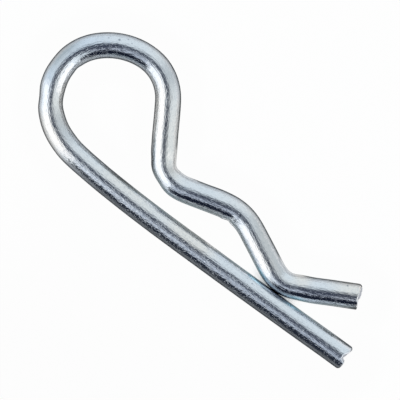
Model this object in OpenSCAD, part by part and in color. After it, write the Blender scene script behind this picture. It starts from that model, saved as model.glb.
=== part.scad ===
// Hitch pin R clip: one length of round spring wire, bent flat into the shape of an R.
// The straight leg lies along X and goes through the cross hole of a shaft. The bent leg
// springs over the outside of that shaft, whose own axis is Z and passes through the origin.
// The wire's middle plane is Z = 0, so the clip lies flat on Z = -wire_d / 2.

/* [Wire] */
// Diameter of the wire
wire_d = 4.76; // [3:0.01:5.5]
// Share of a bend's outer strain that shows as a thinner wire there
stretch = 0.16; // [0.1:0.01:0.25]

/* [Fit on the shaft] */
// Diameter of the round seat, whose centre is on the straight leg's axis
seat_d = 15.5; // [14.5:0.1:17.5]
// Gap between the straight leg and the neck, where the bent leg first turns away
neck_gap = 2.9; // [2:0.1:3.4]
// Gap between the legs at the throat, which the shaft springs open
throat_gap = 0.1; // [0.1:0.1:1]

/* [Straight leg] */
// Shaft axis to the leg's cut end
tip_reach = 32; // [24:0.5:45]
// Radius of the gentle bow that leads into the loop
bow_r = 265; // [200:5:350]
// Angle of that bow
bow_angle = 5; // [3:0.5:6]
// Straight wire between the bow and the loop
entry_len = 1; // [0.5:0.1:4]

/* [Loop] */
// Radius of the loop's back, next to the straight leg
back_r = 12.4; // [11:0.1:14]
// Angle of the loop's back
back_angle = 66.5; // [60:0.5:72]
// Radius of the far shoulder
shoulder_r = 9.6; // [8:0.1:11]
// Angle of the far shoulder
shoulder_angle = 61.5; // [56:0.5:68]
// Radius of the crown, opposite the straight leg
crown_r = 12.8; // [11:0.1:15]
// Angle of the crown
crown_angle = 43.5; // [36:0.5:50]
// Radius of the near shoulder, which turns down to the neck
front_r = 8.8; // [8:0.1:11]

/* [Bent leg] */
// Slope at which the leg comes down from the loop
descent_angle = 59; // [52:0.5:66]
// Slope at which it climbs from the neck to the hump
climb_angle = 15.3; // [12:0.1:20]
// Slope at which it falls from the hump to the throat
fall_angle = 25.4; // [20:0.1:32]
// Slope at which the end flares away from the straight leg
flare_angle = 27.5; // [20:0.5:36]
// Radius of the neck bend
neck_r = 6.1; // [5:0.1:8]
// Radius of the hump over the shaft
hump_r = 9.7; // [8:0.1:12]
// Radius of the throat bend
throat_r = 5; // [4:0.1:7]
// Straight wire in the flared end
flare_len = 11.6; // [8:0.1:16]

/* [Cut ends] */
// Edge radius where the blade went in, on both ends
roll_r = 0.6; // [0.3:0.05:0.8]
// Edge radius where the blade came out, on the straight leg
leg_exit_r = 0.6; // [0.2:0.05:0.8]
// Edge radius where the blade came out, on the flared end
flare_exit_r = 0.2; // [0.1:0.05:0.5]
// Top of the smooth land on the straight leg's end, below the wire's axis
leg_land = 0.85; // [0.5:0.05:1.2]
// Top of the smooth land on the flared end, below the wire's axis
flare_land = 0.5; // [0.2:0.05:1]
// Depth of the tear above the land on the straight leg's end
leg_tear = 0.6; // [0.2:0.05:0.8]
// Height of the tear above the land on the flared end
flare_tear = 0.13; // [0.05:0.01:0.3]
// Lean of the torn face on the straight leg's end
leg_lean = 14; // [5:1:20]
// Lean of the torn face on the flared end
flare_lean = 8; // [3:1:15]

/* [Hidden] */
$fn = 96;

wire_r = wire_d / 2;
seat_r = seat_d / 2;

// A ball joins each piece of wire to the next one. The pieces stop short of each other by
// joint_gap, inside the ball, which is bead thicker than the straight wire. A bend is at least
// hair thinner than straight wire, and its ball as much thicker than the bend.
joint_gap = 0.05;
bead = 0.01;
hair = 0.03;

// Wire radius in a bend of radius r, where the strain of the outer fibre is wire_r / r
function bent_r(r) = wire_r * (1 - stretch * wire_r / r) - hair;

// The straight leg points along 180 degrees on its way to the loop, and the wire's heading
// falls from there all the way round the loop to the slope of the descent.
bow_to = 180 - bow_angle;
back_to = bow_to - back_angle;
shoulder_to = back_to - shoulder_angle;
crown_to = shoulder_to - crown_angle;
front_to = -descent_angle;

// Step along the wire's axis in a run of straight wire and in a bend between two headings
function run_step(length, heading) = length * [cos(heading), sin(heading)];
function bend_step(r, from, to) =
    sign(to - from) * r * [sin(to) - sin(from), cos(from) - cos(to)];

loop_step = bend_step(bow_r, 180, bow_to)
    + run_step(entry_len, bow_to)
    + bend_step(back_r, bow_to, back_to)
    + bend_step(shoulder_r, back_to, shoulder_to)
    + bend_step(crown_r, shoulder_to, crown_to)
    + bend_step(front_r, crown_to, front_to);

// Heights of the bent leg's axis over the straight leg's at its three turning points
neck_y = wire_r + neck_gap + bent_r(neck_r);
hump_y = seat_r + bent_r(hump_r);
throat_y = wire_r + throat_gap + bent_r(throat_r);

// Straight runs that bring the bent leg to those heights
function run_for(rise, radii, slope) = (rise - radii * (1 - cos(slope))) / sin(slope);
descent_run = run_for(loop_step.y - neck_y, neck_r, descent_angle);
climb_run = run_for(hump_y - neck_y, neck_r + hump_r, climb_angle);
fall_run = run_for(hump_y - throat_y, hump_r + throat_r, fall_angle);

// The hump's highest point is over the shaft's axis, which sets where the bow starts
hump_step = loop_step
    + run_step(descent_run, front_to)
    + bend_step(neck_r, front_to, climb_angle)
    + run_step(climb_run, climb_angle)
    + bend_step(hump_r, climb_angle, 0);
leg_run = tip_reach + hump_step.x;

// The wire from the straight leg's end to the flared end, as the bender makes it:
// straight wire fed, bend radius, turn to the left
BENDS = [
    [leg_run, bow_r, -bow_angle],
    [entry_len, back_r, -back_angle],
    [0, shoulder_r, -shoulder_angle],
    [0, crown_r, -crown_angle],
    [0, front_r, front_to - crown_to],
    [descent_run, neck_r, descent_angle + climb_angle],
    [climb_run, hump_r, -climb_angle - fall_angle],
    [fall_run, throat_r, fall_angle + flare_angle],
    [flare_len, 0, 0]
];
last = len(BENDS) - 1;

// Straight wire along +X between two joints
module run(length) {
    translate([joint_gap, 0, 0])
        rotate([0, 90, 0])
            cylinder(h = length - 2 * joint_gap, r = wire_r);
}

// Bend that sets off along +X and turns left by the given angle, or right if it is negative
module bend(r, turn) {
    side = sign(turn);
    gap_turn = side * joint_gap / r * 180 / PI;
    translate([0, side * r, 0])
        rotate([0, 0, gap_turn - side * 90])
            rotate_extrude(angle = turn - 2 * gap_turn)
                translate([r, 0])
                    circle(r = bent_r(r));
}

// Ball at a joint, with its poles on the wire's axis
module ball(r) {
    rotate([0, 90, 0])
        sphere(r = r);
}

// Moves what follows to the far end of such a bend
module after_bend(r, turn) {
    side = sign(turn);
    translate([0, side * r, 0])
        rotate([0, 0, turn])
            translate([0, -side * r, 0])
                children();
}

// Corner outside a rolled edge, between the top of the wire and a face that leans out over it.
// The edge's circle stands bead proud of both, so that it crosses each at a definite angle.
module rolled_corner(r, lean) {
    reach = 2 * wire_d;
    translate([bead - r, bead - r])
        difference() {
            polygon([[0, 0], [0, reach], [reach, reach], reach * [cos(lean), -sin(lean)]]);
            circle(r = r);
        }
}

// What the shear takes off the end of a wire that runs along +X to x = 0: square land at the
// bottom, a tear that steps back or stands proud, a leaning torn face and two rolled edges
module sheared_off(land, tear, lean, exit_r) {
    reach = 2 * wire_d;
    tear_y = -land + abs(tear);
    face_x = -tear - tear_y * tan(lean);
    roll_y = wire_r - roll_r;
    roll_x = face_x + roll_y * tan(lean) + roll_r * (1 - 1 / cos(lean));
    linear_extrude(height = reach, center = true) {
        polygon([
            [0, -reach], [0, -land], [-tear, tear_y], [face_x + reach * tan(lean), reach],
            [2 * reach, reach], [2 * reach, -reach]
        ]);
        translate([roll_x, wire_r])
            rolled_corner(roll_r, lean);
        translate([0, -wire_r])
            mirror([0, 1, 0])
                rolled_corner(exit_r, 0);
    }
}

// Straight run with one sheared end, at the origin, and the other end at a joint
module sheared_run(length, land, tear, lean, exit_r) {
    difference() {
        translate([-wire_r, 0, 0])
            run(length + wire_r);
        rotate([0, 0, 180])
            sheared_off(land, tear, lean, exit_r);
    }
}

// Lays row i of the bend table from the origin along +X, and all later rows after it
module lay(i) {
    length = BENDS[i][0];
    r = BENDS[i][1];
    turn = BENDS[i][2];
    if (i == 0)
        sheared_run(length, leg_land, leg_tear, leg_lean, leg_exit_r);
    else if (i == last)
        translate([length, 0, 0])
            rotate([0, 0, 180])
                sheared_run(length, flare_land, -flare_tear, flare_lean, flare_exit_r);
    else if (length > 0)
        run(length);
    if (i > 0)
        ball(length > 0 ? wire_r + bead : max(bent_r(BENDS[i - 1][1]), bent_r(r)) + hair);
    if (i < last)
        translate([length, 0, 0]) {
            if (length > 0)
                ball(wire_r + bead);
            bend(r, turn);
            after_bend(r, turn)
                lay(i + 1);
        }
}

module clip() {
    color([0.78, 0.80, 0.82])
        translate([tip_reach, 0, 0])
            rotate([0, 0, 180])
                lay(0);
}

clip();
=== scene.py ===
import math
from collections import namedtuple

import bpy
import numpy as np
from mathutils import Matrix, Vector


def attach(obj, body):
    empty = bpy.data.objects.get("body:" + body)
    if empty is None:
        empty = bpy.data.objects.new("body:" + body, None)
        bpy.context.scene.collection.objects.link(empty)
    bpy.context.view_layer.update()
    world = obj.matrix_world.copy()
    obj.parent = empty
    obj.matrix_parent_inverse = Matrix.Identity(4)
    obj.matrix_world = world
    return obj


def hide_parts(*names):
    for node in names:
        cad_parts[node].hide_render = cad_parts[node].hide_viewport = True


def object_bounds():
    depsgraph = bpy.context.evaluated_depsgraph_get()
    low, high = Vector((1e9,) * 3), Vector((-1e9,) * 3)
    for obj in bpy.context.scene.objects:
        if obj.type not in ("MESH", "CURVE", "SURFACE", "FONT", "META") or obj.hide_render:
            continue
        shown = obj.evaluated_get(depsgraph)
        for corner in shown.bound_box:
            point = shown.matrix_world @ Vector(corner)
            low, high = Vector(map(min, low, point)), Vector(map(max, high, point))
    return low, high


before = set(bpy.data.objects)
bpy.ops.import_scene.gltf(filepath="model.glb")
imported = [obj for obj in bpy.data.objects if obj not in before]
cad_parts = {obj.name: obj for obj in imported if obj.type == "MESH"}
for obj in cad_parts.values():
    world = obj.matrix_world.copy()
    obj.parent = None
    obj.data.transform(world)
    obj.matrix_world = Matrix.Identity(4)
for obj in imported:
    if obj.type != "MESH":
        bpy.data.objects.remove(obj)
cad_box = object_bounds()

# The clip is one bent spring wire with bright zinc plate. This script sweeps the wire's true
# section along the bends of the CAD part, tears its two sheared ends, and lights it in a
# white studio tent whose front is open. Lengths are in millimetres until a mesh or a node
# that works in metres is made. Angles are in degrees, and left is left along the wire, from
# the straight leg's cut end to the flared one's.
MM = 0.001

# Driving dimensions, as in the CAD part
WIRE_D = 4.76
STRETCH = 0.16
HAIR = 0.03
SEAT_D = 15.5
NECK_GAP = 2.9
THROAT_GAP = 0.1
TIP_REACH = 32.0
BOW_R, BOW_ANGLE = 265.0, 5.0
ENTRY_LEN = 1.0
BACK_R, BACK_ANGLE = 12.4, 66.5
SHOULDER_R, SHOULDER_ANGLE = 9.6, 61.5
CROWN_R, CROWN_ANGLE = 12.8, 43.5
FRONT_R = 8.8
DESCENT_ANGLE, CLIMB_ANGLE, FALL_ANGLE, FLARE_ANGLE = 59.0, 15.3, 25.4, 27.5
NECK_R, HUMP_R, THROAT_R = 6.1, 9.7, 5.0
FLARE_LEN = 11.6
WIRE_R = WIRE_D / 2

# Heading of the wire where it sets off from the straight leg's cut end
LEG_HEADING = 180.0

# Steps of the path and of the rings on it, and points in a ring
PATH_STEP = 0.02
RING_STEP = 0.3
SEGMENTS = 96

# Lengths over which bends, thinning and straying blend in, and the length over which the
# blended path is drawn back to the drawn one
BEND_BLEND = 2.0
THINNING_BLEND = 3.0
STRAY_BLEND = 2.5
DRIFT_BLEND = 16.0

# Shares of a bend's thinning that show on the wire's top and underside, and on its outer side
THINNING_UP = 0.5
THINNING_OUTSIDE = 0.3

# The wire as it really came out of the bender. How far its axis strays to the left of the
# drawn one at places along it, and the marks that the bending pins pressed into its sides:
# side (1 is left), place, depth and reach.
STRAY = [
    (0, -0.12), (4, -0.12), (11, -0.05), (25, 0), (40, -0.035), (46, -0.01), (55, 0.055),
    (60, 0.03), (65, -0.09), (68, 0), (71, 0.03), (76, 0), (80, -0.02), (84, 0), (98, -0.02),
    (103, -0.03), (108, 0.045), (112, 0.02), (116, 0.1), (119, 0), (124, 0.08), (128, 0.03),
    (136, 0), (142, -0.09), (146, -0.17), (148, -0.07), (150, 0), (152.5, 0.1), (155, -0.01),
    (158, 0.06), (164, 0.09),
]
PIN_MARKS = [
    (-1, 64.0, -0.07, 3.0), (-1, 72.3, 0.18, 2.2), (1, 73.4, 0.20, 1.3), (1, 79.4, 0.07, 1.6),
    (-1, 81.2, 0.11, 1.0), (1, 96.8, 0.04, 1.6), (-1, 116.2, 0.08, 0.8), (1, 118.6, 0.26, 1.7),
    (-1, 119.6, 0.2, 1.2), (-1, 124.5, -0.05, 3.0), (1, 129.5, -0.07, 2.0),
    (-1, 131.9, -0.09, 0.5), (-1, 133.5, 0.18, 0.6), (1, 143.5, -0.06, 6.0),
    (-1, 149.8, 0.15, 2.8),
]

# Patches where the plate's film is yellowish, on one side of the wire: side (1 is left), place,
# reach and strength. Elsewhere it is bluish. The two sides blend within FILM_EDGE of the
# wire's middle.
YELLOWED = [
    (1, 67.5, 5.0, 1.0), (1, 80, 4.0, 0.4), (1, 98, 3.0, 0.4), (1, 112, 9.0, 1.0),
    (1, 141, 9.0, 0.6), (1, 152.7, 2.0, 0.8), (1, 162, 5.0, 0.8), (-1, 17, 5.0, 0.2),
    (-1, 35.8, 5.0, 1.15), (-1, 51, 7.0, 0.7), (-1, 72, 6.0, 0.85), (-1, 108.5, 7.5, 1.05),
    (-1, 142, 5.0, 0.6), (-1, 163, 5.0, 0.45),
]
FILM_EDGE = 0.7

# Pits in the plate: place along the wire, place across it to the left, and radius
PITS = [
    (90.9, 1.07, 0.30), (90.6, 0.14, 0.35), (89.1, 1.26, 0.18), (92.3, 1.50, 0.17),
    (93.1, 0.95, 0.16), (98.3, -0.10, 0.35), (134.7, 0.0, 0.30), (120.2, 0.2, 0.35),
    (121.4, 0.1, 0.30), (21.9, -1.14, 0.20), (161.0, 1.74, 0.25), (68.9, -0.3, 0.2),
    (1.4, 0.50, 0.25), (0.7, 0.60, 0.22), (2.0, 0.40, 0.22),
]

# View: the picture is 400 px wide, and its right-hand direction is turned from the part's +X.
# The camera looks down on VIEW_CENTRE from VIEW_DISTANCE.
PICTURE_PX = 400
PX_PER_MM = 5.51
VIEW_ROLL = 36.037
VIEW_CENTRE = (-6.433, 7.832)
VIEW_DISTANCE = 700.0
CLIP_END = 10000.0
SENSOR = 36.0


# ---------------------------------------------------------------- the wire's path

def bent_r(bend_r):
    """Radius of the wire in a bend of that radius."""
    return WIRE_R * (1 - STRETCH * WIRE_R / bend_r) - HAIR


def run_step(length, heading):
    a = math.radians(heading)
    return length * np.array([math.cos(a), math.sin(a)])


def bend_step(r, start, end):
    a, b = math.radians(start), math.radians(end)
    step = np.array([math.sin(b) - math.sin(a), math.cos(a) - math.cos(b)])
    return math.copysign(r, end - start) * step


def run_for(rise, radii, slope):
    """Straight run between two bends that brings the bent leg from one height to the next."""
    a = math.radians(slope)
    return (rise - radii * (1 - math.cos(a))) / math.sin(a)


def bend_table():
    """Rows of straight wire fed, bend radius and turn, from the straight leg to the flare."""
    bow_to = LEG_HEADING - BOW_ANGLE
    back_to = bow_to - BACK_ANGLE
    shoulder_to = back_to - SHOULDER_ANGLE
    crown_to = shoulder_to - CROWN_ANGLE
    loop = (bend_step(BOW_R, LEG_HEADING, bow_to) + run_step(ENTRY_LEN, bow_to)
            + bend_step(BACK_R, bow_to, back_to) + bend_step(SHOULDER_R, back_to, shoulder_to)
            + bend_step(CROWN_R, shoulder_to, crown_to)
            + bend_step(FRONT_R, crown_to, -DESCENT_ANGLE))
    neck_y = WIRE_R + NECK_GAP + bent_r(NECK_R)
    hump_y = SEAT_D / 2 + bent_r(HUMP_R)
    throat_y = WIRE_R + THROAT_GAP + bent_r(THROAT_R)
    descent = run_for(loop[1] - neck_y, NECK_R, DESCENT_ANGLE)
    climb = run_for(hump_y - neck_y, NECK_R + HUMP_R, CLIMB_ANGLE)
    fall = run_for(hump_y - throat_y, HUMP_R + THROAT_R, FALL_ANGLE)
    hump = (loop + run_step(descent, -DESCENT_ANGLE)
            + bend_step(NECK_R, -DESCENT_ANGLE, CLIMB_ANGLE) + run_step(climb, CLIMB_ANGLE)
            + bend_step(HUMP_R, CLIMB_ANGLE, 0))
    return [
        (TIP_REACH + hump[0], BOW_R, -BOW_ANGLE),
        (ENTRY_LEN, BACK_R, -BACK_ANGLE),
        (0, SHOULDER_R, -SHOULDER_ANGLE),
        (0, CROWN_R, -CROWN_ANGLE),
        (0, FRONT_R, -DESCENT_ANGLE - crown_to),
        (descent, NECK_R, DESCENT_ANGLE + CLIMB_ANGLE),
        (climb, HUMP_R, -CLIMB_ANGLE - FALL_ANGLE),
        (fall, THROAT_R, FALL_ANGLE + FLARE_ANGLE),
        (FLARE_LEN, 0, 0),
    ]


def smooth(values, width):
    """Hann-weighted running mean, that many millimetres wide, along a row of path samples."""
    half = int(width / PATH_STEP / 2)
    window = np.hanning(2 * half + 3)[1:-1]
    padded = np.concatenate([np.full(half, values[0]), values, np.full(half, values[-1])])
    return np.convolve(padded, window / window.sum(), mode="valid")


def walk(curvature):
    """Points and headings of a path with that curvature, from the straight leg's cut end."""
    heading = math.radians(LEG_HEADING) + np.cumsum(curvature) * PATH_STEP
    heading = np.concatenate([[math.radians(LEG_HEADING)], heading[:-1]])
    middle = heading + curvature * PATH_STEP / 2
    x = TIP_REACH + np.concatenate([[0], np.cumsum(np.cos(middle))[:-1]]) * PATH_STEP
    y = np.concatenate([[0], np.cumsum(np.sin(middle))[:-1]]) * PATH_STEP
    return x, y, heading


def drawn_bends():
    """Samples along the wire as drawn: distance, curvature to the left and wire radius."""
    ends, curves, radii = [0.0], [], []
    for length, r, turn in bend_table():
        if length > 0:
            ends.append(ends[-1] + length)
            curves.append(0.0)
            radii.append(WIRE_R)
        if r > 0:
            ends.append(ends[-1] + abs(math.radians(turn)) * r)
            curves.append(math.copysign(1 / r, turn))
            radii.append(bent_r(r))
    s = np.arange(0, ends[-1], PATH_STEP)
    row = np.clip(np.searchsorted(ends, s + PATH_STEP / 2) - 1, 0, len(curves) - 1)
    return s, np.array(curves)[row], np.array(radii)[row]


def half_widths(s, curvature, drawn_r):
    """Half widths of the wire to its left, to its right and up. A bend's outer side is drawn
    thin, its inner side isn't, and the pins have pressed their marks into both."""
    thin = WIRE_R - drawn_r
    left = WIRE_R - THINNING_OUTSIDE * smooth(np.where(curvature > 0, 0, thin), THINNING_BLEND)
    right = WIRE_R - THINNING_OUTSIDE * smooth(np.where(curvature < 0, 0, thin), THINNING_BLEND)
    for side, place, depth, reach in PIN_MARKS:
        mark = depth * np.exp(-((s - place) / reach) ** 2)
        left -= mark * (side > 0)
        right -= mark * (side < 0)
    return left, right, WIRE_R - THINNING_UP * smooth(thin, THINNING_BLEND)


Path = namedtuple("Path", "s x y heading left right up")


def wire_path():
    """Samples along the wire as it came out of the bender: distance, place and heading of its
    axis, and its half widths."""
    s, curvature, drawn_r = drawn_bends()
    x, y, heading = walk(smooth(curvature, BEND_BLEND))
    drawn_x, drawn_y, _ = walk(curvature)
    x += smooth(drawn_x - x, DRIFT_BLEND)
    y += smooth(drawn_y - y, DRIFT_BLEND)
    stray = smooth(np.interp(s, *zip(*STRAY)), STRAY_BLEND)
    x -= stray * np.sin(heading)
    y += stray * np.cos(heading)
    heading = heading + np.gradient(stray, PATH_STEP)
    return Path(s, x, y, heading, *half_widths(s, curvature, drawn_r))


WIRE = wire_path()
WIRE_LENGTH = WIRE.s[-1]


# ---------------------------------------------------------------- the cut ends

# A sheared end: height of the square land's top below the axis, depth of the tear above it
# (negative where it stands proud), lean of the torn face away from the land and its tilt to
# one side, depth of its scoop, radii of its edges where the blade went in and came out, how
# far out it may reach, height of its ripples and their seed.
CutEnd = namedtuple("CutEnd",
                    "land tear lean tilt scoop entry_edge exit_edge reach rough seed")
LEG_END = CutEnd(land=0.85, tear=0.6, lean=14, tilt=1.5, scoop=0.4, entry_edge=0.6,
                 exit_edge=0.6, reach=0.0, rough=0.06, seed=11)
FLARE_END = CutEnd(land=0.5, tear=-0.13, lean=8, tilt=8, scoop=0.0, entry_edge=0.6,
                   exit_edge=0.2, reach=1.0, rough=0.05, seed=23)

# Radius of an end's edge beside the blade
SIDE_EDGE = 0.15

# The step between land and torn face: how far it wanders, and its width
STEP_WANDER = 0.22
STEP_WIDTH = 0.35

# The middle of an end's scoop, as distances beyond the tear's foot and up, and its reach in
# those two directions
SCOOP_PLACE = (0.5, 1.9)
SCOOP_REACH = (0.8, 1.3)

# Waves in each ripple
WAVES = 7

# Rings on an end's edge and face, and the length of the wall before them
EDGE_RINGS = 8
FACE_RINGS = 22
END_WALL = 3.0

# How torn the face looks on its land, and how late the rolled edge begins to look torn
LAND_TORN = 0.4
EDGE_TORN_POWER = 8


def ripple(a, b, seed):
    """Smooth bumps between about -1 and 1, the same for the same seed."""
    rng = np.random.default_rng(seed)
    total = np.zeros(np.broadcast(a, b).shape)
    for _ in range(WAVES):
        turn = rng.uniform(0, 2 * math.pi)
        pitch = rng.uniform(0.6, 1.6)
        shift = rng.uniform(0, 2 * math.pi)
        total += np.sin(pitch * (a * math.cos(turn) + b * math.sin(turn)) * 2 + shift)
    return total / math.sqrt(WAVES)


def torn_share(end, y, z):
    """1 where an end's face is torn, 0 on its land, with a ragged step between them. y runs
    to the blade's entry side and z up."""
    wander = STEP_WANDER * ripple(z * 2.1, z * 0.7 + 3, end.seed)
    step = (y + end.land - abs(end.tear) / 2 + wander) / STEP_WIDTH + 0.5
    step = np.clip(step, 0, 1)
    return step * step * (3 - 2 * step)


def face_out(end, y, z):
    """How far out along the wire an end's face lies at (y, z). The land lies at 0."""
    foot = -end.land + abs(end.tear)
    lean = -end.tear + (y - foot) * math.tan(math.radians(end.lean))
    tilt = z * math.tan(math.radians(end.tilt))
    grain = (ripple(y * 3.1, z * 3.1, end.seed + 1) * 0.6
             + ripple(y * 7.3, z * 6.7, end.seed + 2) * 0.4)
    from_scoop = (((y - foot - SCOOP_PLACE[0]) / SCOOP_REACH[0]) ** 2
                  + ((z - SCOOP_PLACE[1]) / SCOOP_REACH[1]) ** 2)
    scoop = end.scoop * np.exp(-from_scoop)
    return np.minimum(torn_share(end, y, z) * (lean - tilt - scoop + end.rough * grain),
                      end.reach)


def edge_radius(end, turn):
    """Radius of an end's rolled edge round its rim; turn is 0 on the blade's entry side."""
    entry = np.clip(np.cos(turn), 0, 1) ** 2
    leave = np.clip(-np.cos(turn), 0, 1) ** 2
    return (SIDE_EDGE + (end.entry_edge - SIDE_EDGE) * entry
            + (end.exit_edge - SIDE_EDGE) * leave)


# ---------------------------------------------------------------- the wire's mesh

# A point's other leg is the wire more than this further along. Wider gaps count as this
OTHER_LEG = 50.0


def section(left, right, up):
    """Points round the wire's section: across in the plane of the bends, and up."""
    turn = np.arange(SEGMENTS) * 2 * math.pi / SEGMENTS
    across = np.cos(turn)
    return across * np.where(across > 0, left, right), up * np.sin(turn)


def place_ring(along, across, up, torn):
    """A ring of points at those distances along the axis, beside it and up: their places,
    their straightened coordinates and how torn they are. Past the wire's ends its axis runs
    straight on."""
    inside = np.clip(along, 0, WIRE_LENGTH)
    heading = np.interp(inside, WIRE.s, WIRE.heading)
    over = along - inside
    x = np.interp(inside, WIRE.s, WIRE.x) + over * np.cos(heading) - across * np.sin(heading)
    y = np.interp(inside, WIRE.s, WIRE.y) + over * np.sin(heading) + across * np.cos(heading)
    return (np.stack([x, y, up], -1), np.stack([along, across, up], -1),
            np.broadcast_to(torn, up.shape))


def end_rows(end, side):
    """Rows of points round a cut end, from its wall to its face's centre: how far out, across,
    up and how torn. side is 1 where the blade went in on the wire's left, and otherwise -1."""
    across, up = section(WIRE_R, WIRE_R, WIRE_R)
    edge = edge_radius(end, np.arctan2(up, side * across))
    inner = (WIRE_R - edge) / WIRE_R
    edge_out = face_out(end, side * across * inner, up * inner) - edge
    rows = []
    for i in range(int(END_WALL / RING_STEP)):
        t = i * RING_STEP / END_WALL
        rows.append((-END_WALL + t * (END_WALL + edge_out), across, up, 0.0))
    for i in range(EDGE_RINGS):
        bend = i / EDGE_RINGS * math.pi / 2
        size = 1 - edge / WIRE_R * (1 - math.cos(bend))
        rows.append((edge_out + edge * math.sin(bend), across * size, up * size,
                     (i / EDGE_RINGS) ** EDGE_TORN_POWER))
    for i in range(FACE_RINGS):
        size = inner * (1 - i / FACE_RINGS)
        y, z = side * across * size, up * size
        torn = LAND_TORN + (1 - LAND_TORN) * torn_share(end, y, z)
        rows.append((face_out(end, y, z), across * size, z, torn))
    return rows


def wire_rings():
    """All rings, from the centre of the leg's end face to the centre of the flare's."""
    rings = [place_ring(-out, *row) for out, *row in reversed(end_rows(LEG_END, -1))]
    first, last = END_WALL + RING_STEP, WIRE_LENGTH - END_WALL - RING_STEP / 2
    for at in np.arange(first, last, RING_STEP):
        halves = [np.interp(at, WIRE.s, half) for half in (WIRE.left, WIRE.right, WIRE.up)]
        rings.append(place_ring(np.full(SEGMENTS, at), *section(*halves), 0.0))
    rings += [place_ring(WIRE_LENGTH + out, *row) for out, *row in end_rows(FLARE_END, 1)]
    return rings


def ring_faces(count):
    """Faces between that many rings, and a fan at each end round one of the two last points."""
    faces = []
    for i in range(count - 1):
        a, b = i * SEGMENTS, (i + 1) * SEGMENTS
        for j in range(SEGMENTS):
            k = (j + 1) % SEGMENTS
            faces.append((a + j, a + k, b + k, b + j))
    start_at, end_at = count * SEGMENTS, count * SEGMENTS + 1
    last = (count - 1) * SEGMENTS
    for j in range(SEGMENTS):
        k = (j + 1) % SEGMENTS
        faces.append((start_at, k, j))
        faces.append((end_at, last + j, last + k))
    return faces


def other_leg_gap(points, along):
    """Distance from each point to the surface of the wire on the other leg."""
    gap = np.full(len(points), OTHER_LEG)
    for at in range(0, len(WIRE.s), int(RING_STEP / PATH_STEP)):
        beside = np.hypot(points[:, 0] - WIRE.x[at], points[:, 1] - WIRE.y[at])
        off = np.hypot(beside, points[:, 2]) - WIRE_R
        other = np.abs(along - WIRE.s[at]) > OTHER_LEG
        gap = np.where(other, np.minimum(gap, off), gap)
    return gap


def blueness(straight):
    """How bluish the plate's film is at points of the straightened wire."""
    film = np.ones(len(straight))
    across = np.clip(straight[:, 1] / FILM_EDGE, -1, 1)
    for side, place, reach, strength in YELLOWED:
        patch = strength * np.exp(-((straight[:, 0] - place) / reach) ** 2)
        film -= patch * (1 + side * across) / 2
    return film


def make_mesh(name, points, faces, attributes):
    """A mesh from points in millimetres, with numbers or vectors at its points by name."""
    mesh = bpy.data.meshes.new(name)
    mesh.from_pydata((points * MM).tolist(), [], faces)
    for key, values in attributes.items():
        kind, field = ("FLOAT", "value") if values.ndim == 1 else ("FLOAT_VECTOR", "vector")
        attribute = mesh.attributes.new(key, kind, "POINT")
        attribute.data.foreach_set(field, values.astype(np.float32).ravel())
    return mesh


def build_wire():
    """The wire, with what its material reads at each point: where it lies on the straightened
    wire, how torn it is, how bluish its film is, and how far off the other leg is."""
    points, straight, torn = (np.concatenate(rows) for rows in zip(*wire_rings()))
    faces = ring_faces(len(torn) // SEGMENTS)
    points, straight = (np.vstack([rows, rows[:SEGMENTS].mean(0), rows[-SEGMENTS:].mean(0)])
                        for rows in (points, straight))
    torn = np.append(torn, [torn[0], torn[-1]])
    mesh = make_mesh("spring_wire", points, faces,
                     {"straight_mm": straight, "torn": torn, "film": blueness(straight),
                      "gap_mm": other_leg_gap(points, straight[:, 0])})
    mesh.shade_smooth()
    wire = bpy.data.objects.new("spring_wire", mesh)
    bpy.context.scene.collection.objects.link(wire)
    return wire


# ---------------------------------------------------------------- materials

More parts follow.
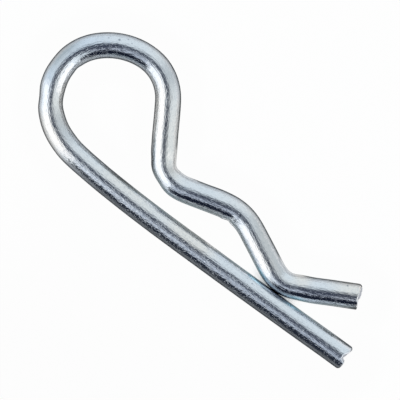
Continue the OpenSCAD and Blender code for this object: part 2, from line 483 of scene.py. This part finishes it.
class Nodes:
    """Short calls for making nodes in a tree. An input is a number, a tuple or a socket."""

    def __init__(self, tree):
        self.tree = tree
        tree.nodes.clear()

    def put(self, kind, inputs=None, **settings):
        """A node with those settings, whose inputs get a value each or a link to a socket."""
        node = self.tree.nodes.new(kind)
        for name, value in settings.items():
            setattr(node, name, value)
        for key, value in (inputs or {}).items():
            if isinstance(value, bpy.types.NodeSocket):
                self.tree.links.new(value, node.inputs[key])
            else:
                node.inputs[key].default_value = value
        return node

    def attribute(self, name, output="Fac"):
        return self.put("ShaderNodeAttribute", attribute_name=name).outputs[output]

    def math(self, operation, a, b=0.0, clamp=False):
        node = self.put("ShaderNodeMath", {0: a, 1: b}, operation=operation, use_clamp=clamp)
        return node.outputs[0]

    def plus(self, a, b):
        return self.math("ADD", a, b)

    def minus(self, a, b):
        return self.math("SUBTRACT", a, b)

    def times(self, a, b):
        return self.math("MULTIPLY", a, b)

    def over(self, a, b):
        return self.math("DIVIDE", a, b)

    def larger(self, a, b):
        return self.math("MAXIMUM", a, b)

    def ramp(self, value, low, high, to_low=0.0, to_high=1.0):
        """Smooth step of value from to_low at low to to_high at high."""
        return self.slope(value, low, high, to_low, to_high, "SMOOTHSTEP")

    def slope(self, value, low, high, to_low=0.0, to_high=1.0, kind="LINEAR"):
        """Straight slope of value from to_low at low to to_high at high."""
        node = self.put("ShaderNodeMapRange",
                        {"Value": value, "From Min": low, "From Max": high,
                         "To Min": to_low, "To Max": to_high}, interpolation_type=kind)
        return node.outputs["Result"]

    def window(self, value, low, high, soft):
        """1 between low and high, falling to 0 over soft on both sides."""
        rise = self.ramp(value, low - soft, low + soft)
        fall = self.ramp(value, high - soft, high + soft, 1.0, 0.0)
        return self.times(rise, fall)

    def mix(self, factor, a, b):
        """Colour a, and b where the factor is 1."""
        node = self.put("ShaderNodeMix", {"Factor": factor, "A": a, "B": b},
                        data_type="RGBA")
        return node.outputs["Result"]

    def noise(self, vector, cells, detail=2.0, roughness=0.5):
        """Noise with that many cells per millimetre along, across and up."""
        mapped = self.put("ShaderNodeMapping", {"Vector": vector, "Scale": cells})
        node = self.put("ShaderNodeTexNoise",
                        {"Vector": mapped.outputs[0], "Scale": 1.0, "Detail": detail,
                         "Roughness": roughness})
        return node.outputs["Fac"]

    def bump(self, height, distance, normal=None):
        """Relief that deep, in millimetres, on top of the relief of another normal."""
        inputs = {"Height": height, "Strength": 1.0, "Distance": distance * MM}
        if normal is not None:
            inputs["Normal"] = normal
        return self.put("ShaderNodeBump", inputs).outputs[0]


def new_material(name):
    material = bpy.data.materials.new(name)
    material.use_nodes = True
    return material, Nodes(material.node_tree)


# Metal under a bluish and under a yellowish film, metal that is torn, dusty and pitted, the
# painted cyan reflection beside the other leg, and the painted shade close to that leg and where
# the legs nearly touch
BLUISH = (0.75, 0.79, 0.84, 1)
YELLOWISH = (0.83, 0.81, 0.785, 1)
TORN = (0.85, 0.85, 0.90, 1)
DUSTY = (0.45, 0.49, 0.55, 1)
PITTED = (0.24, 0.27, 0.32, 1)
PAINTED_CYAN_REFLECTION = (0.60, 0.86, 0.94, 1)
LEG_SHADE = (0.05, 0.07, 0.12, 1)
TOUCH_SHADE = (0.03, 0.06, 0.13, 1)

# Noises in the plate, as cells per millimetre along the wire, across it and up
FILM_CELLS = (0.12, 0.3, 0.3)
DUST_CELLS = (2.2, 5.0, 5.0)
SPECK_CELLS = (2.6, 5.5, 5.5)
WAVE_CELLS = (0.4, 0.7, 0.7)
LINE_CELLS = (0.2, 3.0, 3.0)
GRAIN_CELLS = (1.3, 4.8, 4.8)
TEAR_CELLS = (7.0, 7.0, 7.0)

# Depths of the slow waves, the draw lines, the grain and the torn steel
WAVE_DEPTH = 0.03
LINE_DEPTH = 0.03
GRAIN_DEPTH = 0.042
TEAR_DEPTH = 0.08

# Gaps to the other leg: from, to and how softly the painted cyan reflection lies on the metal,
# and the gaps over which the painted shade close to that leg and the painted dark where the legs
# nearly touch fade out
PAINTED_REFLECTION_GAP = (0.8, 1.9, 0.3)
SHADE_GAP = (1.1, 1.45)
TOUCH_GAP = (0.0, 0.4)

# Places along the wire: where it passes from the straight leg to the bent one, over which the
# dull specks thin out, and from, to and how softly the straight leg is rubbed duller
TO_BENT_LEG = (60, 100)
SPECKS_THIN = (100, 125)
RUBBED = (18, 50, 7)


def pit_share(n, place):
    """1 inside the pits of the plate."""
    pits = 0.0
    for along, across, radius in PITS:
        centre = (along, across, math.sqrt(WIRE_R ** 2 - across ** 2))
        away = n.put("ShaderNodeVectorMath", {0: place, 1: centre}, operation="DISTANCE")
        pit = n.ramp(away.outputs["Value"], 0.4 * radius, radius, 1.0, 0.0)
        pits = n.larger(pits, pit)
    return pits


def plate_colour(n, place, torn):
    """Film in slow patches, with dust and pits. Beside the other leg a painted cyan reflection
    lies on the metal, with painted shade on the straight leg, and where the legs nearly touch
    painted shade makes it dark."""
    along, _, up = n.put("ShaderNodeSeparateXYZ", {0: place}).outputs
    film = n.plus(n.attribute("film"), n.noise(place, FILM_CELLS, detail=1.0))
    colour = n.mix(n.ramp(film, 0.5, 1.5), YELLOWISH, BLUISH)
    colour = n.mix(torn, colour, TORN)
    dust = n.noise(place, DUST_CELLS, detail=2.0)
    colour = n.mix(n.ramp(dust, 0.45, 0.75, 0.0, 0.4), colour, DUSTY)
    colour = n.mix(n.times(pit_share(n, place), 0.8), colour, PITTED)

    gap = n.attribute("gap_mm")
    # Painted cyan reflection on the lower flank beside the other leg
    painted_reflection = n.times(n.window(gap, *PAINTED_REFLECTION_GAP), n.ramp(up, 1.2, 1.8, 0.5, 0.0))
    colour = n.mix(painted_reflection, colour, PAINTED_CYAN_REFLECTION)
    # Painted shade on the straight leg close to the other leg, then painted dark where the legs
    # nearly touch
    bent_leg = n.ramp(along, *TO_BENT_LEG)
    beside = n.times(n.ramp(gap, *SHADE_GAP, 0.4, 0.0), n.minus(1.0, bent_leg))
    colour = n.mix(beside, colour, LEG_SHADE)
    near = n.minus(gap, n.times(bent_leg, 0.2))
    return n.mix(n.ramp(near, *TOUCH_GAP, 0.6, 0.0), colour, TOUCH_SHADE)


def plate_roughness(n, place, torn, lines):
    """Draw lines, dull specks that thin out on the bent leg, and the rubbed stretch."""
    along = n.put("ShaderNodeSeparateXYZ", {0: place}).outputs[0]
    rubbed = n.window(along, *RUBBED)
    roughness = n.ramp(lines, 0.3, 0.7, 0.03, 0.08)
    roughness = n.plus(roughness, n.times(rubbed, 0.04))
    roughness = n.plus(roughness, n.times(torn, 0.6))
    specks = n.noise(place, SPECK_CELLS, detail=0.0)
    specks = n.plus(specks, n.times(rubbed, 0.07))
    specks = n.minus(specks, n.ramp(along, *SPECKS_THIN, 0.0, 0.05))
    return n.plus(roughness, n.ramp(specks, 0.65, 0.74, 0.0, 0.3))


def plate_relief(n, place, torn, lines):
    """Slow waves, draw lines and grain, and a coarse relief where the steel is torn."""
    waves = n.noise(place, WAVE_CELLS, detail=1.0)
    grain = n.noise(place, GRAIN_CELLS, detail=2.0)
    tear = n.noise(place, TEAR_CELLS, detail=3.0, roughness=0.7)
    normal = n.bump(waves, WAVE_DEPTH)
    normal = n.bump(lines, LINE_DEPTH, normal)
    normal = n.bump(grain, GRAIN_DEPTH, normal)
    return n.bump(n.times(tear, torn), TEAR_DEPTH, normal)


def zinc_plate():
    """Bright zinc on drawn wire, torn through to the steel on its cut ends."""
    material, n = new_material("zinc_plated_steel")
    place = n.attribute("straight_mm", "Vector")
    torn = n.attribute("torn")
    lines = n.noise(place, LINE_CELLS, detail=2.0)
    shader = n.put("ShaderNodeBsdfPrincipled",
                   {"Base Color": plate_colour(n, place, torn),
                    "Metallic": n.minus(1.0, n.times(torn, 0.75)),
                    "Roughness": plate_roughness(n, place, torn, lines),
                    "Normal": plate_relief(n, place, torn, lines)})
    n.put("ShaderNodeOutputMaterial", {"Surface": shader.outputs[0]})
    return material


# The floor's colours: its painted shade, darker and tinted teal, where the wire closes it in,
# and the open floor. Then its finish, and how far from the wire its shadow reaches
PAINTED_SHADE_PAPER = (0.50, 0.63, 0.63, 1)
OPEN_PAPER = (0.6, 0.6, 0.6, 1)
UNLIT = (0, 0, 0, 1)
WHITE = (1, 1, 1, 1)
PAPER_ROUGHNESS = 0.1
SHADOW_REACH = 5.0

# Shares of pure white that the camera sees in the open floor, and that glass would show of it
SEEN_WHITE = 0.98
THROUGH_WHITE = 0.96

# Distances from the wire's edge over which the floor passes from its painted shadow close by to
# the open, and over which the painted light in the wedge between the legs sets in
CLOSE_BY = (2.7, 6.0)
WEDGE_CLEAR = (0.9, 2.4)

# The painted shade on the front of the floor, in metres as its nodes read them: the y over which
# it deepens towards the front, the y over which it ends at the back and the x over which it ends
# on the left. Past the last, a sum of x and y / 2, lies the white floor beyond the wire's ends,
# whose painted light the metal mirrors
FRONT_DEEPENS = (-35 * MM, -15 * MM)
FRONT_BACK = (-7 * MM, -3 * MM)
FRONT_LEFT = (-40 * MM, -20 * MM)
BEYOND_ENDS = (35 * MM, 39 * MM)


def mirrored_floor(n, openness):
    """How lit the floor looks in the metal and how white it shines there, both painted on it.
    Painted shadow makes it dark close beside the wire, and painted shade darkens the open front
    side of the tent. Painted light makes it bright in the wedge between the legs, beyond the
    wire's ends and in the hollows of its bends."""
    place = n.put("ShaderNodeNewGeometry").outputs["Position"]
    x, y, _ = n.put("ShaderNodeSeparateXYZ", {0: place}).outputs
    # Painted shade on the front of the floor, deepest towards the front
    deep = n.ramp(y, *FRONT_DEEPENS, 0.93, 0.66)
    front = n.times(n.ramp(y, *FRONT_BACK, deep, 0.0), n.ramp(x, *FRONT_LEFT))
    beyond = n.ramp(n.plus(x, n.times(y, 0.5)), *BEYOND_ENDS)
    front = n.times(front, n.minus(1.0, beyond))
    clear = n.attribute("clear_mm")
    wedge = n.times(n.attribute("between"), n.ramp(clear, *WEDGE_CLEAR))
    beside = n.larger(n.ramp(openness, 0.35, 0.72, 0.95, 0.12), wedge)
    lit = n.times(n.ramp(clear, *CLOSE_BY, beside, 1.0), n.minus(1.0, front))
    shine = n.plus(n.times(lit, 0.2), n.times(wedge, 0.25))
    return lit, n.larger(shine, n.larger(beyond, n.attribute("hollow")))


def paper():
    """Pale satin floor, with the painted shade and painted light of mirrored_floor, which the
    metal mirrors. The camera sees it white, with a faint shadow close to the wire.
    """
    material, n = new_material("paper")
    openness = n.put("ShaderNodeAmbientOcclusion", {"Distance": SHADOW_REACH * MM}).outputs["AO"]
    lit, shine = mirrored_floor(n, openness)
    # Painted shade: the floor turns darker and teal where the wire closes it in, and black where
    # mirrored_floor leaves it unlit
    shade = n.mix(n.ramp(openness, 0.4, 0.9), PAINTED_SHADE_PAPER, OPEN_PAPER)
    satin = n.put("ShaderNodeBsdfPrincipled",
                  {"Base Color": n.mix(lit, UNLIT, shade), "Roughness": PAPER_ROUGHNESS})
    white = n.put("ShaderNodeEmission", {"Color": WHITE, "Strength": 1.0})
    ray = n.put("ShaderNodeLightPath")
    # Painted light: the floor glows white to the metal in the wedge, beyond the wire's ends and
    # in the hollows
    glossy = n.times(ray.outputs["Is Glossy Ray"], shine)
    through = n.times(ray.outputs["Is Transmission Ray"], THROUGH_WHITE)
    seen = n.times(ray.outputs["Is Camera Ray"], n.ramp(openness, 0.04, 0.2, 0.0, SEEN_WHITE))
    share = n.math("ADD", n.plus(glossy, through), seen, clamp=True)
    mix = n.put("ShaderNodeMixShader", {0: share, 1: satin.outputs[0], 2: white.outputs[0]})
    n.put("ShaderNodeOutputMaterial", {"Surface": mix.outputs[0]})
    return material


# ---------------------------------------------------------------- the studio

# Half the floor's width, and the grid near the part: its step and its margin round the part
FLOOR_HALF = 1500.0
FLOOR_STEP = 0.5
FLOOR_MARGIN = 14.0

# The wire's loop lies between these places along it. Sums of the distances to both legs at
# which the wedge between them begins, and from which it counts in full
LOOP_FROM, LOOP_TO = 60.0, 120.0
WEDGE = (6.2, 4.4)

# Bright places on the floor in the hollows of the bends, which light the wire's edge there:
# side (1 is left), place along the wire, distance from its edge and radius. Then how softly
# they end and how bright they are
HOLLOWS = [(1, 119.7, 3.2, 2.1), (1, 149.6, 2.9, 1.9), (-1, 134.0, 2.8, 1.3)]
HOLLOW_SOFT = 1.2
HOLLOW_LIGHT = 0.8

# The tent's colours
PALE_WALL = (0.84, 0.91, 0.94, 1)
BLUE_WALL = (0.77, 0.87, 0.95, 1)
RIGHT_FOLD = (0.62, 0.67, 0.69, 1)
LEFT_FOLD = (0.46, 0.54, 0.59, 1)
LAMP = (1.34, 1.35, 1.36, 1)
DIM_HEADER = (0.48, 0.53, 0.61, 1)
PALE_HEADER = (0.68, 0.73, 0.82, 1)
ARM = (0.06, 0.07, 0.10, 1)
LEFT_DARK = (0.022, 0.028, 0.042, 1)
RIGHT_DARK = (0.012, 0.016, 0.03, 1)
FLAP = (0.90, 0.95, 1.02, 1)
CAMERA_BODY = (0.06, 0.07, 0.10, 1)
LENS = (0.04, 0.05, 0.08, 1)

# The front wall stands one unit in front of the part. Its header, the arm before the header
# and its dark opening: from, to and how softly across the wall, and the heights over which
# each sets in, or ends. The opening's top edge falls beyond these places, at these slopes
HEADER_X, HEADER_Z = (-0.95, 0.28, 0.2), (0.7, 1.1)
ARM_X, ARM_Z = (-0.12, 0.14, 0.08), (1.6, 2.0)
OPENING_X, OPENING_Z = (-1.04, 0.62, 0.06), (1.05, 1.27)
LEFT_FALL_X, LEFT_FALL = -0.4, 0.6
RIGHT_FALL_X, RIGHT_FALL = 0.2, 1.4

# The camera's body on a ceiling one unit up: its middle and its length for its width
BODY_X, BODY_Y = 0.05, -0.38
BODY_LENGTH = 1.6

# Keeps divisions by the front and up directions finite
TINY = 0.001


def tent_walls(n, polar, around, left_around):
    """Pale walls with two darker folds, and a lamp behind the left and the right one. polar
    is the angle from straight up. around and left_around are the angle from the picture's
    right, anticlockwise, from -180 and from 0."""
    tent = n.mix(n.window(left_around, 93, 185, 15), PALE_WALL, BLUE_WALL)
    fold = n.times(n.window(around, 12, 40, 12), n.ramp(polar, 10, 30))
    tent = n.mix(fold, tent, RIGHT_FOLD)
    fold = n.times(n.window(around, 117, 147, 12), n.ramp(polar, 10, 80))
    tent = n.mix(fold, tent, LEFT_FOLD)
    left_lamp = n.times(n.window(left_around, 163, 221, 5), n.ramp(polar, 10, 36))
    left_lamp = n.times(left_lamp, n.ramp(polar, 58, 110, 1.0, 0.0))
    tent = n.mix(left_lamp, tent, LAMP)
    right_lamp = n.times(n.window(around, -53, -12, 8), n.ramp(polar, 28, 42))
    return n.mix(right_lamp, tent, LAMP)


def tent_front(n, tent, right, back, up):
    """The front wall: a header with an arm before it, and the dark opening under it, whose
    top edge falls towards its two ends."""
    front = n.larger(n.times(back, -1.0), TINY)
    wall_x = n.over(right, front)
    wall_z = n.over(up, front)
    header = n.times(n.window(wall_x, *HEADER_X), n.ramp(wall_z, *HEADER_Z))
    header_colour = n.mix(n.ramp(wall_x, -0.55, -0.2), DIM_HEADER, PALE_HEADER)
    tent = n.mix(header, tent, header_colour)
    arm = n.times(n.window(wall_x, *ARM_X), n.ramp(wall_z, *ARM_Z))
    tent = n.mix(arm, tent, ARM)
    left_fall = n.times(n.larger(n.minus(LEFT_FALL_X, wall_x), 0.0), LEFT_FALL)
    right_fall = n.times(n.larger(n.minus(wall_x, RIGHT_FALL_X), 0.0), RIGHT_FALL)
    height = n.plus(n.plus(wall_z, left_fall), right_fall)
    opening = n.times(n.window(wall_x, *OPENING_X), n.ramp(height, *OPENING_Z, 1.0, 0.0))
    dark = n.mix(n.ramp(wall_x, -0.62, -0.5), LEFT_DARK, RIGHT_DARK)
    return n.mix(opening, tent, dark)


def camera_shape(n, tent, right, back, up, polar):
    """The camera over the part, mirrored as a dark body with its lens in the middle."""
    ceiling = n.larger(up, TINY)
    body_x = n.minus(n.over(right, ceiling), BODY_X)
    body_y = n.over(n.minus(n.over(back, ceiling), BODY_Y), BODY_LENGTH)
    away = n.math("SQRT", n.plus(n.times(body_x, body_x), n.times(body_y, body_y)))
    tent = n.mix(n.ramp(away, 0.06, 0.30, 1.0, 0.0), tent, CAMERA_BODY)
    return n.mix(n.slope(polar, 3.5, 30, 1.0, 0.0), tent, LENS)


def light_tent():
    """The world: a pale tent with a lamp behind its left and its right wall, a dark opening
    in its front wall, and the camera's dark shape overhead."""
    world = bpy.data.worlds.new("light_tent")
    bpy.context.scene.world = world
    world.use_nodes = True
    n = Nodes(world.node_tree)
    direction = n.put("ShaderNodeTexCoord").outputs["Generated"]
    turned = n.put("ShaderNodeVectorRotate",
                   {"Vector": direction, "Angle": math.radians(-VIEW_ROLL)},
                   rotation_type="Z_AXIS").outputs[0]
    right, back, up = n.put("ShaderNodeSeparateXYZ", {0: turned}).outputs
    degrees = 180 / math.pi
    polar = n.times(n.math("ARCCOSINE", up), degrees)
    around = n.times(n.math("ARCTAN2", back, right), degrees)
    left_around = n.math("MODULO", n.plus(around, 360.0), 360.0)

    tent = tent_walls(n, polar, around, left_around)
    tent = tent_front(n, tent, right, back, up)
    flap = n.times(n.window(left_around, 222, 231, 3), n.window(polar, 37, 51, 6))
    tent = n.mix(flap, tent, FLAP)
    tent = camera_shape(n, tent, right, back, up, polar)

    seen = n.put("ShaderNodeLightPath").outputs["Is Camera Ray"]
    background = n.put("ShaderNodeBackground", {"Color": n.mix(seen, tent, WHITE),
                                                "Strength": 1.0})
    n.put("ShaderNodeOutputWorld", {"Surface": background.outputs[0]})


def floor_lines(low, high):
    """Grid lines across the part, FLOOR_STEP apart, and one far out on either side."""
    near = np.arange(low / MM - FLOOR_MARGIN, high / MM + FLOOR_MARGIN, FLOOR_STEP)
    return np.concatenate([[-FLOOR_HALF], near, [FLOOR_HALF]])


def hollow_light(x, y):
    """How bright points of the floor shine that lie in the hollows of the bends."""
    light = np.zeros(x.shape)
    for side, place, off, radius in HOLLOWS:
        at = int(place / PATH_STEP)
        reach = side * (WIRE_R + off)
        middle_x = WIRE.x[at] - reach * math.sin(WIRE.heading[at])
        middle_y = WIRE.y[at] + reach * math.cos(WIRE.heading[at])
        inside = radius - np.hypot(x - middle_x, y - middle_y)
        light = np.maximum(light, np.clip(inside / HOLLOW_SOFT + 0.5, 0, 1))
    return light * HOLLOW_LIGHT


def wire_distances(x, y):
    """How far points of the floor are off the wire's edge, seen from above, and how far they
    lie in the narrow wedge between the legs, from 0 to 1."""
    clear, to_leg, to_bent_leg = (np.full(x.shape, np.inf) for _ in range(3))
    for at in range(0, len(WIRE.s), int(FLOOR_STEP / PATH_STEP)):
        off = np.hypot(x - WIRE.x[at], y - WIRE.y[at]) - WIRE_R
        clear = np.minimum(clear, off)
        if WIRE.s[at] < LOOP_FROM:
            to_leg = np.minimum(to_leg, off)
        elif WIRE.s[at] > LOOP_TO:
            to_bent_leg = np.minimum(to_bent_leg, off)
    wide, narrow = WEDGE
    return clear, np.clip((wide - to_leg - to_bent_leg) / (wide - narrow), 0, 1)


def lay_floor():
    """A level floor under the part, with what its material reads at each point."""
    columns = floor_lines(cad_box[0][0], cad_box[1][0])
    rows = floor_lines(cad_box[0][1], cad_box[1][1])
    x, y = (grid.ravel() for grid in np.meshgrid(columns, rows))
    level = np.full(x.shape, cad_box[0][2] / MM)
    width = len(columns)
    faces = [(j * width + i, j * width + i + 1, (j + 1) * width + i + 1, (j + 1) * width + i)
             for j in range(len(rows) - 1) for i in range(width - 1)]
    clear, between = wire_distances(x, y)
    mesh = make_mesh("paper_sweep", np.stack([x, y, level], -1), faces,
                     {"clear_mm": clear, "between": between, "hollow": hollow_light(x, y)})
    mesh.materials.append(paper())
    floor = bpy.data.objects.new("paper_sweep", mesh)
    bpy.context.scene.collection.objects.link(floor)


def set_camera():
    """A camera straight above the part, turned as in the photo."""
    data = bpy.data.cameras.new("camera")
    data.sensor_width = SENSOR
    data.lens = SENSOR * VIEW_DISTANCE * PX_PER_MM / PICTURE_PX
    data.clip_end = CLIP_END * MM
    camera = bpy.data.objects.new("camera", data)
    camera.location = (VIEW_CENTRE[0] * MM, VIEW_CENTRE[1] * MM, VIEW_DISTANCE * MM)
    camera.rotation_euler = (0, 0, math.radians(VIEW_ROLL))
    bpy.context.scene.collection.objects.link(camera)
    bpy.context.scene.camera = camera


set_camera()
lay_floor()
light_tent()
bpy.context.scene.view_settings.view_transform = "Standard"

clip = build_wire()
clip.data.materials.append(zinc_plate())
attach(clip, "root")
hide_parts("clip")
